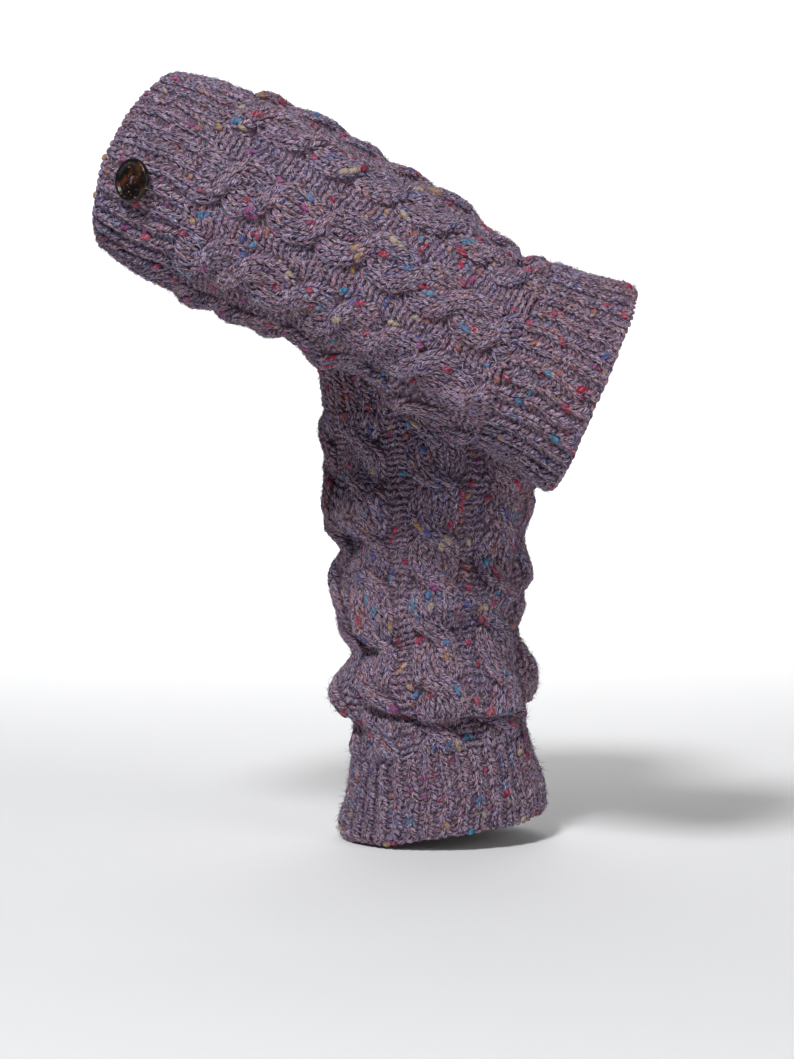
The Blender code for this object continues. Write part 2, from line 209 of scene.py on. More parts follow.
def flatGrid(*axes):
    # Each pair, or each triple, of values of the axes, as flat arrays.
    return [grid.ravel() for grid in np.meshgrid(*axes, indexing="ij")]


def unit(vectors):
    # Each vector over its own length.
    return vectors / np.maximum(np.linalg.norm(vectors, axis=-1, keepdims=True), 1e-12)


def sectionFrames(leg, rows):
    # Centre, sideways and frontward directions and the half sizes of the ring at each row.
    table = np.array(leg["sections"], dtype=float).T
    read = [smoothBetween(rows, table[0], column) for column in table[1:]]
    centre = stacked(read[:3]) * mm
    above, below = [stacked([smoothBetween(rows + small, table[0], column) for column in table[1:4]])
                    for small in (-0.05, 0.05)]
    along = unit(below - above)
    toCamera = np.array([0.0, -1.0, 0.0])
    side = unit(np.cross(toCamera, along))
    tilt = np.radians(read[5])[..., None]
    side = side * np.cos(tilt) + along * np.sin(tilt)
    front = unit(toCamera - np.sum(toCamera * along, axis=-1, keepdims=True) * along)
    return centre, side, front, read[3][..., None] * mm, read[4][..., None] * mm


def waveSum(leg, waves, rows, angles):
    # Size times the sine of each wave's phase, added up.
    total = 0.0
    for number, (size, perRow, perRadian, start) in enumerate(waves):
        start = start + (leg["seed"] if number == 0 else 0.0)
        total = total + size * np.sin(perRow * rows + perRadian * angles + start)
    return total


def ridge(rows, angles, row, angle, reach, spread, climb, above=1.0):
    # A bell along the tube, above times as long on its upper side, times a squared cosine
    # window round it. Its row climbs with the angle.
    turn = (np.degrees(angles) - angle + 180.0) % 360.0 - 180.0
    window = np.cos(np.clip(turn / reach, -1.0, 1.0) * math.pi / 2) ** 2
    away = (rows - row - climb * turn / 90.0) / spread
    return np.exp(-np.where(away < 0, away / above, away) ** 2) * window


def foldHeight(leg, rows, angles):
    # The folds' ridges, over uneven lumps that fade out towards the mouths.
    fade = (softStep((rows - lumpFade["startRow"]) / lumpFade["rows"])
            * softStep((lumpFade["endRow"] - rows) / lumpFade["rows"]))
    lumps = waveSum(leg, lumpWaves, rows, angles)
    height = leg["lumps"] * lumps / 1.8 * fade  # three waves seldom pass 1.8
    for row, angle, reach, rise, spread, climb in leg["folds"]:
        height = height + rise * mm * ridge(rows, angles, row, angle, reach, spread, climb)
    return height


def slumpLength(leg, rows, angles):
    # How far the cloth has slid down the tube: ridges that rise slowly above their rows.
    length = np.zeros(rows.shape)
    for row, angle, reach, slump, spread, climb in leg["slumps"]:
        length += slump * mm * ridge(rows, angles, row, angle, reach, spread, climb, 2.6)
    return length


def formPoints(leg, rows, stitches, lift):
    # Centre + side half width sine + front half depth cosine, then the lift with the folds
    # along the ellipse's own normal and the slump along the tube. The arrays have one shape.
    # Rows and columns wander a little.
    perStitch = 2 * math.pi / knitting["stitchesRound"]
    angles = math.radians(leg["cableAngle"]) + perStitch * stitches
    wander = waveSum(leg, columnWaves, rows, angles)
    rows = rows + waveSum(leg, rowWaves, rows, angles)
    angles = angles + perStitch * wander
    centre, side, front, halfWidth, halfDepth = sectionFrames(leg, rows)
    sine, cosine = np.sin(angles)[..., None], np.cos(angles)[..., None]
    ground = centre + side * halfWidth * sine + front * halfDepth * cosine
    normal = unit(side * sine / halfWidth + front * cosine / halfDepth)
    along = np.cross(side, front)
    return (ground + normal * (lift + foldHeight(leg, rows, angles))[..., None]
            + along * slumpLength(leg, rows, angles)[..., None])


def ribHeight(rows, stitches):
    # Half a cosine wave a stitch: even stitches stand up as ribs, odd ones sink.
    return knitting["ribHeight"] * (0.5 + 0.5 * np.cos(math.pi * stitches))


def strandCentre(sign, rows):
    # The swing of one strand about its cable, a cosine that is flattened at its ends.
    phase = math.pi * (rows - knitting["sideBySideRow"]) / knitting["crossingRows"]
    ease = knitting["strandEase"]
    swing = np.cos(phase) * math.hypot(1.0, ease) / np.hypot(np.cos(phase), ease)
    return sign * knitting["strandReach"] * swing


def strandHeight(sign, rows, across):
    # A round back that is high where the strand crosses over and low where it goes under.
    phase = math.pi * (rows - knitting["sideBySideRow"]) / knitting["crossingRows"]
    top = knitting["strandHeight"] - sign * knitting["strandSwing"] * np.sin(phase)
    off = (across - strandCentre(sign, rows)) / knitting["strandHalf"]
    return top * np.sqrt(np.clip(1.0 - off ** 2, 0.0, 1.0))


def acrossCable(stitches):
    # Stitches from the middle of the nearest cable.
    return (stitches + knitting["repeat"] / 2) % knitting["repeat"] - knitting["repeat"] / 2


def ropeShare(rows):
    # 0 at both ends of the cabled part, 1 once the ropes are full.
    share = softStep((rows - knitting["topRibEnd"]) / knitting["ropeFadeRows"])
    return share * softStep((knitting["ankleRibStart"] - rows) / knitting["ropeFadeRows"])


def knitHeight(rows, stitches):
    # Ribs on the two bands, ropes between them, and a rounded lip at either mouth.
    onBand = (rows <= knitting["topRibEnd"]) | (rows >= knitting["ankleRibStart"])
    across = acrossCable(stitches)
    rope = np.maximum(strandHeight(-1, rows, across), strandHeight(1, rows, across))
    share = ropeShare(rows)
    plain = knitting["ribHeight"] / 2 * (1.0 - share)
    height = np.where(onBand, ribHeight(rows, stitches), plain + rope * share)
    toMouth = np.minimum(rows, knitting["lastRow"] - rows)
    return height - knitting["lipRounding"] * (1.0 - softStep(toMouth / knitting["lipRows"]))


# Meshes from arrays.

def newPiece(name, points, quads, triangles, maps, tint=None):
    # One mesh from whole arrays: points, four sided and three sided faces, a (quad corner,
    # triangle corner) pair of arrays for each map, and four colour values for each point.
    mesh = bpy.data.meshes.new(name)
    corners = np.concatenate([quads.ravel(), triangles.ravel()]).astype(np.int32)
    sizes = np.concatenate([np.full(len(quads), 4), np.full(len(triangles), 3)]).astype(np.int32)
    mesh.vertices.add(len(points))
    mesh.vertices.foreach_set("co", points.astype(np.float32).ravel())
    mesh.loops.add(len(corners))
    mesh.loops.foreach_set("vertex_index", corners)
    mesh.polygons.add(len(sizes))
    mesh.polygons.foreach_set("loop_start", np.concatenate([[0], np.cumsum(sizes)[:-1]]).astype(np.int32))
    mesh.polygons.foreach_set("use_smooth", np.ones(len(sizes), dtype=bool))
    for label, (quadMap, triangleMap) in maps.items():
        layer = mesh.uv_layers.new(name=label)
        values = np.concatenate([quadMap.reshape(-1, 2), triangleMap.reshape(-1, 2)])
        layer.data.foreach_set("uv", values.astype(np.float32).ravel())
    if tint is not None:
        layer = mesh.color_attributes.new(name="tint", type="FLOAT_COLOR", domain="POINT")
        layer.data.foreach_set("color", tint.astype(np.float32).ravel())
    mesh.update(calc_edges=True)
    mesh.validate()
    piece = bpy.data.objects.new(name, mesh)
    bpy.context.scene.collection.objects.link(piece)
    return piece


def finishPiece(piece, material):
    # A piece gets its material and the body that it rides on.
    piece.data.materials.append(material)
    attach(piece, "root")
    return piece


def spindleBatch(points, outward, wide, deep, sides, tint, rng):
    # Short lengths of yarn. points holds stations along each, the first and last being its
    # tips. A ring round station k is point + across wide cosine + up deep sine, where up is
    # outward made square to the path. Ring widths swell as the root of a half sine.
    count, stations = points.shape[:2]
    rings = stations - 2
    path = unit(np.gradient(points, axis=1))[:, 1:-1]
    across = unit(np.cross(outward[:, None, :], path))
    up = np.cross(path, across)
    share = np.arange(1, stations - 1) / (stations - 1)
    swell = np.sqrt(np.sin(math.pi * share))[None, :, None, None]
    angles = np.arange(sides) * 2 * math.pi / sides - math.pi / 2
    wide = np.broadcast_to(np.asarray(wide, dtype=float), (count,))[:, None, None, None]
    deep = np.broadcast_to(np.asarray(deep, dtype=float), (count,))[:, None, None, None]
    ring = points[:, 1:-1, None, :] + swell * (
        across[:, :, None, :] * wide * np.cos(angles)[None, None, :, None]
        + up[:, :, None, :] * deep * np.sin(angles)[None, None, :, None])
    body = ring.reshape(count, rings * sides, 3)
    allPoints = np.concatenate([points[:, :1], body, points[:, -1:]], axis=1)
    each = rings * sides + 2
    k, s = flatGrid(np.arange(rings - 1), np.arange(sides))
    after = (s + 1) % sides
    quad = stacked([1 + k * sides + after, 1 + (k + 1) * sides + after,
                    1 + (k + 1) * sides + s, 1 + k * sides + s])
    # The map runs once round in u, and from tip to tip in v.
    quadMap = stacked([stacked([s + 1, s + 1, s, s]) / sides,
                       stacked([k + 1, k + 2, k + 2, k + 1]) / (stations - 1)])
    s = np.arange(sides)
    after, endRing = (s + 1) % sides, 1 + (rings - 1) * sides
    tips = np.concatenate([stacked([s * 0, 1 + after, 1 + s]),
                           stacked([s * 0 + each - 1, endRing + s, endRing + after])])
    tipU = np.concatenate([stacked([s + 0.5, s + 1, s]), stacked([s + 0.5, s, s + 1])]) / sides
    tipV = np.repeat([[0, 1, 1], [stations - 1, stations - 2, stations - 2]], sides, axis=0)
    tipMap = stacked([tipU, tipV / (stations - 1)])
    length = np.linalg.norm(np.diff(points, axis=1), axis=-1).sum(axis=1)
    return {"points": allPoints, "quad": quad, "tips": tips, "each": each,
            "quadMap": quadMap, "tipMap": tipMap,
            "length": length, "shift": rng.random(count) * 50.0, "tint": tint}


def spindlePiece(name, batches):
    # Joins batches into one mesh. The map "yarn" is in millimetres along and once round.
    # The map "OFBake" gives each length of yarn a cell of its own on a square sheet.
    total = sum(len(b["points"]) for b in batches)
    cells = math.ceil(math.sqrt(total))
    margin = 0.05  # of a cell
    points, quads, tips, tints = [], [], [], []
    maps = {"yarn": ([], []), "OFBake": ([], [])}
    first, cell = 0, 0
    for b in batches:
        count = len(b["points"])
        offset = first + np.arange(count)[:, None, None] * b["each"]
        points.append(b["points"].reshape(-1, 3))
        quads.append((b["quad"][None] + offset).reshape(-1, 4))
        tips.append((b["tips"][None] + offset).reshape(-1, 3))
        tints.append(np.repeat(b["tint"], b["each"], axis=0))
        column, row = np.divmod(cell + np.arange(count), cells)
        for place, key in enumerate(("quadMap", "tipMap")):
            flat = np.broadcast_to(b[key][None], (count,) + b[key].shape)
            along = flat[..., 1] * b["length"][:, None, None] / mm + b["shift"][:, None, None]
            maps["yarn"][place].append(stacked([flat[..., 0], along]).reshape(-1, 2))
            corner = stacked([column, row])[:, None, None]
            inCell = corner + margin + (1 - 2 * margin) * flat
            maps["OFBake"][place].append((inCell / cells).reshape(-1, 2))
        first += count * b["each"]
        cell += count
    joined = {label: (np.concatenate(q), np.concatenate(t)) for label, (q, t) in maps.items()}
    return newPiece(name, np.concatenate(points), np.concatenate(quads),
                    np.concatenate(tips), joined, np.concatenate(tints))


# The yarn that each stitch is made of. Tones are linear red, green and blue.

yarn = {
    "knitSides": 5,
    "purlSides": 4,
    "knitRings": 3,
    "purlRings": 2,
    "knitWide": 1.46 * mm,
    "knitDeep": 1.3 * mm,
    "knitLong": 1.78,  # knitted rows that one arm of a stitch covers
    "purlWide": 1.42 * mm,
    "purlDeep": 1.2 * mm,
    "jitter": 0.06,  # rows that a length strays from its place
    "sideJitter": 0.042,  # stitches
    "liftJitter": 0.16 * mm,
    "knitTurn": 0.08,  # slant of a length against its neighbours, in stitches from tip to tip
    "purlTurn": 0.22,
    "purlLean": 0.42,  # knitted rows from the middle of a purl bar to its raised end
    "sizeSpread": 0.13,
    "sizeLimits": (-0.25, 0.3),
    "light": (0.365, 0.240, 0.365),
    "middle": (0.226, 0.127, 0.205),
    "dark": (0.080, 0.038, 0.074),
    # painted light: purl bars lie low between ropes and ribs, so their tint is lifted against the shade
    # there
    "purlPaintedLight": 1.18,
    "knots": 3600,  # tones along the whole yarn
    "stitches": 8000,  # more than one leg warmer has
    "toneRun": 2.2,  # stitches over which one tone holds, and the next ones likewise
    "warmRuns": (1.7, 7.3),
    "greenRun": 1.9,
    "toneSpread": 0.5,
    "warmSpread": 0.6,
    "patchSize": (6, 3.6),  # knitted rows and stitches of a warm or cool patch
    "patchBlur": 0.3,
    "patchShares": (0.6, 1.6),  # what single stitches and patches add to the warmth
    "hueSpread": 0.17,
    "warmHue": (1.0, 0.0, -0.9),
    "greenHue": (-0.3, 0.5, -0.3),
    "nubShare": 0.07,
    "nubArms": 0.7,  # share of a nub stitch's lengths that show it
    "nubStrength": (0.75, 1.0),
    "nubSize": 1.46,
    "nubs": [
        (0.40, 0.010, 0.042), (0.32, 0.008, 0.034), (0.44, 0.022, 0.070), (0.38, 0.010, 0.026),
        (0.012, 0.190, 0.400), (0.018, 0.250, 0.420), (0.030, 0.075, 0.300),
        (0.470, 0.270, 0.090), (0.530, 0.430, 0.250), (0.400, 0.110, 0.045), (0.330, 0.060, 0.230),
    ],
}


def yarnTint(rows, stitches, rng):
    # The tone wanders along the yarn, which runs round the tube row after row, and each
    # length differs a little from its neighbours. Nubs of another colour are spun in here
    # and there: their tint's fourth value is 0, and the rest have 1.
    count = len(rows)
    around = knitting["stitchesRound"]
    row = np.floor(rows / knitting["rowStep"]).astype(int) + 3
    position = row * around + stitches % around
    knots = np.arange(yarn["knots"])
    wander = rng.normal(0.0, 1.0, len(knots))
    hues = rng.normal(0.0, 1.0, len(knots))
    tone = (np.interp(position / yarn["toneRun"], knots, wander) * yarn["toneSpread"]
            + rng.normal(0.0, yarn["toneSpread"], count))
    light, middle, dark = (np.array(yarn[k]) for k in ("light", "middle", "dark"))
    up, down = np.clip(tone, 0, 2)[:, None] / 2, np.clip(-tone, 0, 2)[:, None] / 2
    colour = middle + (light - middle) * up + (dark - middle) * down
    warm = (np.interp(position / yarn["warmRuns"][0], knots, hues)
            + rng.normal(0.0, yarn["warmSpread"], count)
            + np.interp(position / yarn["warmRuns"][1], knots, wander[::-1]))
    patch = rng.normal(0.0, 1.0, (24, 30))  # the last ten columns are spare
    patchRow, patchStitch = (
        np.floor(at / size + rng.normal(0, yarn["patchBlur"], count)).astype(int) % most
        for at, size, most in zip((row, stitches), yarn["patchSize"], (24, 20)))
    warm = yarn["patchShares"][0] * warm + yarn["patchShares"][1] * patch[patchRow, patchStitch]
    green = np.interp(position / yarn["greenRun"], knots, hues[::-1]) + rng.normal(0.0, 0.5, count)
    colour = colour * (1.0 + yarn["hueSpread"] * (warm[:, None] * np.array(yarn["warmHue"])
                                                  + green[:, None] * np.array(yarn["greenHue"])))
    palette = np.array(yarn["nubs"])
    spun = rng.random(yarn["stitches"]) < yarn["nubShare"]
    picked = rng.integers(0, len(palette), yarn["stitches"])
    cell = row * around + np.round(stitches).astype(int) % around
    nub = (spun[cell] & (rng.random(count) < yarn["nubArms"]))[:, None]
    colour = np.clip(colour, 0.01, 0.9)
    strong = rng.uniform(*yarn["nubStrength"], (count, 1))
    tint = np.where(nub, palette[picked[cell]] * strong + colour * (1.0 - strong), colour)
    return np.concatenate([tint, 1.0 - nub], axis=1)


def layYarn(leg, rows, stitches, heightAt, lift, kind, rng):
    # Lays lengths of yarn along paths of (row, stitch) on the form. outward is the normal
    # of that form at the middle of each, from small steps down and round it.
    count = len(rows)
    rows = rows + rng.normal(0, yarn["jitter"], (count, 1))
    slant = np.linspace(-0.5, 0.5, rows.shape[1])[None] * rng.normal(0, yarn[kind + "Turn"], (count, 1))
    stitches = stitches + rng.normal(0, yarn["sideJitter"], (count, 1)) + slant
    rows = rows + slant * rng.choice([-1, 1], (count, 1))
    lift = lift + rng.normal(0, yarn["liftJitter"], (count, 1))
    points = formPoints(leg, rows, stitches, heightAt(rows, stitches) + lift)
    middleRow, middleStitch = rows.mean(axis=1), stitches.mean(axis=1)
    step = 0.15
    near = [formPoints(leg, middleRow + a, middleStitch + b,
                       heightAt((middleRow + a)[:, None], (middleStitch + b)[:, None])[:, 0])
            for a, b in ((step, 0), (-step, 0), (0, step), (0, -step))]
    outward = unit(np.cross(near[0] - near[1], near[2] - near[3]))
    size = 1.0 + rng.normal(0, yarn["sizeSpread"], count).clip(*yarn["sizeLimits"])
    tint = yarnTint(middleRow, middleStitch, rng)
    # Painted light: purl bars are brightened to offset the shade in the hollows where they lie.
    tint[:, :3] *= yarn["purlPaintedLight"] if kind == "purl" else 1.0
    size = size * np.where(tint[:, 3] < 0.5, yarn["nubSize"], 1.0)
    return spindleBatch(points, outward, yarn[kind + "Wide"] * size, yarn[kind + "Deep"] * size,
                        yarn[kind + "Sides"], tint, rng)


stitching = {
    "armStart": -0.25,  # knitted rows from a stitch's own row to its arms' upper ends
    "ribArm": (0.06, 0.66),  # stitches from a column's middle to an arm's two ends
    "ropeArm": (0.05, 0.58),
    "ribPurl": (0.5, 0.2),  # half a purl bar's length in stitches, and its sag in knitted rows
    "gutterPurl": (0.56, 0.3),
    "purlDrops": (0.2, 0.7),  # knitted rows down to a stitch's two bars
    "ribKnitLift": (-1.35 * mm, -0.7 * mm),  # lift at the tips of a length and at its middle
    "ribPurlLift": (-1.7 * mm, -1.0 * mm),
    "ropeLift": (-1.4 * mm, -0.7 * mm),
    "gutterLift": (-0.9 * mm, 0.0),
    "strandColumns": (-1.2, 0.0, 1.2),
    "gutterColumns": ((3.5, 4.5, 5.5), (3.0, 4.0, 5.0, 6.0)),
    "hiddenDepth": 1.3 * mm,  # how far under the other strand a length is left out
    "lengthMiddle": 0.45,  # rows from a rope stitch's own row to the middle of its lengths
    "strandFoot": 0.95,  # share of a strand's half width past which its side is too steep
}


def knittedRows(firstRow, lastRow):
    # Where each knitted row starts, in rows of the tables.
    return np.arange(firstRow, lastRow, knitting["rowStep"])


def armPath(rows, stitches, apex, spread):
    # One arm of a knit stitch: it starts at the column's middle, swings out and ends at its
    # edge under the next stitch. Sideways it goes from apex to spread as t to the 1.15.
    t = np.linspace(0, 1, yarn["knitRings"] + 2)[None, :]
    down = rows[:, None] + (yarn["knitLong"] * t + stitching["armStart"]) * knitting["rowStep"]
    out = apex[:, None] + (spread - apex)[:, None] * t ** 1.15
    return down, stitches[:, None] + out


def arcPath(rows, stitches, half, sag, slope=0.0):
    # A purl bar: across the column, with its middle sagging by a parabola and its ends
    # sloping one way on even columns and the other way on odd ones.
    t = np.linspace(-1, 1, yarn["purlRings"] + 2)[None, :]
    lean = np.where(np.floor(stitches) % 2 < 1, slope, -slope)[:, None]
    down = knitting["rowStep"] * (sag * (1 - t * t) + lean * t)
    return rows[:, None] + down, stitches[:, None] + half * t


def bow(lifts, kind):
    # Lift along one length of yarn, a parabola from its tips to its middle.
    ends, middle = lifts
    t = np.linspace(-1, 1, yarn[kind + "Rings"] + 2)[None, :]
    return middle + (ends - middle) * t ** 2


def ribStitches(leg, firstRow, lastRow, rng):
    # Knit columns on even stitches, two arms each, and purl bars down in the odd ones.
    rows, columns = flatGrid(knittedRows(firstRow, lastRow), np.arange(0, knitting["stitchesRound"], 2.0))
    half, sag = stitching["ribPurl"]
    batches = []
    for sign in (-1, 1):
        apex, spread = (np.full(len(rows), end * sign) for end in stitching["ribArm"])
        down, across = armPath(rows, columns, apex, spread)
        lift = bow(stitching["ribKnitLift"], "knit")
        batches.append(layYarn(leg, down, across, ribHeight, lift, "knit", rng))
    for drop, sign in zip(stitching["purlDrops"], (1, -1)):
        down, across = arcPath(rows + drop * knitting["rowStep"], columns + 1, half, sag * sign)
        lift = bow(stitching["ribPurlLift"], "purl")
        batches.append(layYarn(leg, down, across, ribHeight, lift, "purl", rng))
    return batches


def ropeStitches(leg, firstRow, lastRow, rng):
    # Each strand is three knit columns that ride over its round back. Lengths that the
    # other strand covers are left out.
    ropes = np.arange(0, knitting["stitchesRound"], float(knitting["repeat"]))
    strandColumns = np.array(stitching["strandColumns"])
    rows, middles, columns = flatGrid(knittedRows(firstRow, lastRow), ropes, strandColumns)
    edge = stitching["strandFoot"] * knitting["strandHalf"]
    batches = []
    for strand, sign in ((-1, -1), (-1, 1), (1, -1), (1, 1)):
        apex, spread = (columns + end * sign for end in stitching["ropeArm"])
        down, local = armPath(rows, columns * 0, apex, spread)
        centre = strandCentre(strand, down)
        across = middles[:, None] + centre + local

        def heightAt(r, s, strand=strand):
            # The strand's own back, faded in with the ropes and kept off its steep foot.
            middle = strandCentre(strand, r)
            off = np.clip(acrossCable(s) - middle, -edge, edge)
            share = ropeShare(r)
            return (strandHeight(strand, r, middle + off) * share
                    + knitting["ribHeight"] / 2 * (1 - share))

        middleAcross = (centre + local).mean(axis=1)
        middleRows = rows + stitching["lengthMiddle"]
        own, other = (strandHeight(which, middleRows, middleAcross) for which in (strand, -strand))
        seen = own > other - stitching["hiddenDepth"]
        lift = bow(stitching["ropeLift"], "knit")
        batches.append(layYarn(leg, down[seen], across[seen], heightAt, lift, "knit", rng))
    return batches


def gutterStitches(leg, firstRow, lastRow, rng):
    # Purl bars between the ropes: loops on each purl column, and links between columns.
    def flat(rows, stitches):
        # Half a rib's height where the ropes fade, and none between full ropes.
        return knitting["ribHeight"] / 2 * (1 - ropeShare(rows))

    ropes = np.arange(0, knitting["stitchesRound"], float(knitting["repeat"]))
    half, sag = stitching["gutterPurl"]
    lift = bow(stitching["gutterLift"], "purl")
    batches = []
    for drop, sign, places in zip(stitching["purlDrops"], (1, -1), stitching["gutterColumns"]):
        rows, middles, columns = flatGrid(knittedRows(firstRow, lastRow), ropes, np.array(places))
        down, across = arcPath(rows + drop * knitting["rowStep"], middles + columns, half, sag * sign,
                               yarn["purlLean"])
        batches.append(layYarn(leg, down, across, flat, lift, "purl", rng))
    return batches


edging = {
    "height": knitting["ribHeight"] * 0.55,
    "slant": 0.55,  # stitches from the middle of a chain stitch to its tip
    "lipRow": 0.02,
    "reach": 0.34,  # rows that its tips reach in from the lip
    "lift": -0.6 * mm,  # at its outer tip
    "drop": 1.5 * mm,  # from there to its middle, and again to its inner tip
    "innerRow": 0.12,
    "innerDrop": 1.6 * mm,
}


def edgeChain(leg, mouthRow, inwards, rng):
    # A slanted stitch over the lip for each stitch: from the outside, over the edge, inside.
    def flat(rows, stitches):
        # One height all round.
        return np.full(rows.shape, edging["height"])

    count = knitting["stitchesRound"]
    t = np.linspace(-1, 1, yarn["knitRings"] + 2)[None, :]
    stitches = np.arange(count)[:, None] + edging["slant"] * t
    rows = mouthRow + inwards * (edging["lipRow"] + edging["reach"] * t ** 2) + np.zeros((count, 1))
    lift = edging["lift"] - edging["drop"] * (t + 1) + np.zeros((count, 1))
    outer = layYarn(leg, rows, stitches, flat, lift, "knit", rng)
    rows, lift = rows + inwards * edging["innerRow"], lift - edging["innerDrop"]
    return [outer, layYarn(leg, rows, stitches + 0.5, flat, lift, "knit", rng)]


# Loose fibres.

fibres = {
    "sides": 3,
    "stations": 3,
    "lying": 2.6,  # for each stitch of the wall
    "standing": 3.1,
    "lyingThick": 0.17 * mm,
    "standingThick": 0.14 * mm,
    "thickSpread": (0.7, 1.25),
    "lyingLong": (2.5 * mm, 6.0 * mm),
    "standingLong": (2.5 * mm, 7.5 * mm),
    "lyingTurns": [0.5, -0.5, 2.64, -2.64],  # radians from straight down the tube
    "turnSpread": 0.35,
    "bend": 0.6,
    "arch": 0.4 * mm,
    "lyingLift": (0.1, 0.9),  # millimetres above the stitches
    "standingShape": (2.2, 0.95),  # of the gamma curve that their heights follow
    "standingLimits": (0.5, 6.0),
    "standingStart": 0.2 * mm,
    "mouthInset": 0.05,  # rows that fibres keep from a mouth
    "insideDepth": 20 * mm,  # of the points that show which way is out
    "lyingTones": [(0.66, 0.56, 0.67), (0.48, 0.38, 0.49), (0.84, 0.78, 0.84), (0.48, 0.07, 0.13),
                   (0.07, 0.15, 0.36), (0.46, 0.30, 0.15), (0.03, 0.018, 0.03)],
    # painted shade: the standing tones are darker copies of the lying ones, so fuzz off the wall reads dark
    # against the light
    "standingTones": [(0.26, 0.19, 0.27), (0.18, 0.12, 0.18), (0.40, 0.32, 0.40), (0.28, 0.06, 0.10),
                      (0.07, 0.11, 0.25), (0.30, 0.20, 0.12), (0.04, 0.024, 0.04)],
    "shares": [0.25, 0.23, 0.14, 0.10, 0.10, 0.06, 0.12],  # of each tone
    "toneSpread": (0.8, 1.15),
}


def looseFibres(leg, firstRow, lastRow, rng):
    # Fibres leave the yarn at random places. Lying ones follow the wall a little above the
    # stitches: lift = start + arch times a half sine. Standing ones leave it as a half
    # parabola, for the soft edge that such yarn has.
    stitchWide, rowHigh = 5.4 * mm, 4.8 * mm
    area = (lastRow - firstRow) * knitting["stitchesRound"]
    t = np.linspace(0, 1, fibres["stations"])[None, :]
    batches = []
    for kind in ("lying", "standing"):
        count = int(area * fibres[kind])
        rows = rng.uniform(firstRow, lastRow, count)
        stitches = rng.uniform(0, knitting["stitchesRound"], count)
        length = rng.uniform(*fibres[kind + "Long"], count)
        turn = rng.uniform(0, 2 * math.pi, count)
        if kind == "lying":
            turn = rng.choice(fibres["lyingTurns"], count) + rng.normal(0, fibres["turnSpread"], count)
        bend = rng.normal(0, fibres["bend"], count)
        course = turn[:, None] + bend[:, None] * (t - 0.5)
        along = length[:, None] * (t - 0.5)
        downRows = rows[:, None] + np.cos(course) * along / rowHigh
        acrossStitches = stitches[:, None] + np.sin(course) * along / stitchWide
        downRows = np.clip(downRows, fibres["mouthInset"], knitting["lastRow"] - fibres["mouthInset"])
        height = knitHeight(downRows, acrossStitches)
        if kind == "lying":
            start = rng.uniform(*fibres["lyingLift"], (count, 1)) * mm
            lift = fibres["arch"] * np.sin(math.pi * t) + start
        else:
            rise = rng.gamma(*fibres["standingShape"], (count, 1)).clip(*fibres["standingLimits"])
            lift = t ** 2 * rise * mm + fibres["standingStart"]
        points = formPoints(leg, downRows, acrossStitches, height + lift)
        inside = formPoints(leg, downRows, acrossStitches, height * 0 - fibres["insideDepth"])
        outward = unit((points - inside)[:, fibres["stations"] // 2])
        tones = np.array(fibres[kind + "Tones"])
        picked = rng.choice(len(tones), count, p=fibres["shares"])
        tint = tones[picked] * rng.uniform(*fibres["toneSpread"], (count, 1))
        tint = np.concatenate([tint, np.ones((count, 1))], axis=1)
        thick = fibres[kind + "Thick"] * rng.uniform(*fibres["thickSpread"], count)
        batches.append(spindleBatch(points, outward, thick, thick, fibres["sides"], tint, rng))
    return batches


# The cloth under the stitches.

cloth = {
    "sink": 1.7 * mm,  # the cloth lies this far under the tops of the stitches
    "gutterSink": 0.75 * mm,  # and this far under them between the ropes
    "pointsRound": 144,
    "ribRowStep": 0.5,
    "cableRowStep": 0.66,
    "insideRib": 1.0 * mm,
    "lipInset": 0.12,  # rows that the inside stops short of a mouth
}


def clothPiece(name, leg, firstRow, lastRow, rowStep, isRib):
    # A closed wall as one grid: rings run down the outside, turn over a rounded edge, run
    # up the plain inside and turn again, so the last ring meets the first.
    count = cloth["pointsRound"]
    steps = max(4, round((lastRow - firstRow) / rowStep))
    outsideRows = np.linspace(firstRow, lastRow, steps + 1)
    stitches = np.arange(count) * knitting["stitchesRound"] / count
    outRows, outStitches = np.meshgrid(outsideRows, stitches, indexing="ij")
    top = np.maximum(knitHeight(outRows, outStitches) - cloth["sink"], -cloth["gutterSink"])
    lipTop = cloth["lipInset"] if firstRow < 1 else 0.0
    lipEnd = cloth["lipInset"] if lastRow > knitting["lastRow"] - 1 else 0.0
    inRows, inStitches = np.meshgrid(np.linspace(lastRow - lipEnd, firstRow + lipTop, steps // 2 + 3),
                                     stitches, indexing="ij")
    relief = np.full(inRows.shape, -knitting["wall"])
    if isRib:
        relief = relief - cloth["insideRib"] * (0.5 - 0.5 * np.cos(math.pi * inStitches))
    rows = np.concatenate([outRows, inRows])
    lifts = np.concatenate([top, relief])
    points = formPoints(leg, rows, np.concatenate([outStitches, inStitches]), lifts)
    rings = len(rows)
    i, j = flatGrid(np.arange(rings), np.arange(count))
    nextRing, nextPoint = (i + 1) % rings * count, (j + 1) % count
    quads = stacked([i * count + j, nextRing + j, nextRing + nextPoint, i * count + nextPoint])
    # "knit" counts stitches and rows, and "OFBake" spreads the grid over a square.
    u = stacked([j, j, j + 1, j + 1]) / count
    v = stacked([i, i + 1, i + 1, i]) / rings
    rowOf = np.concatenate([rows[:, 0], rows[:1, 0]])
    knitV = stacked([rowOf[i], rowOf[i + 1], rowOf[i + 1], rowOf[i]])
    none = np.zeros((0, 3, 2))
    maps = {"knit": (stacked([u * knitting["stitchesRound"], knitV]), none),
            "OFBake": (stacked([u, v]), none)}
    return newPiece(name, points.reshape(-1, 3), quads, np.zeros((0, 3), int), maps)


# Shader maths.

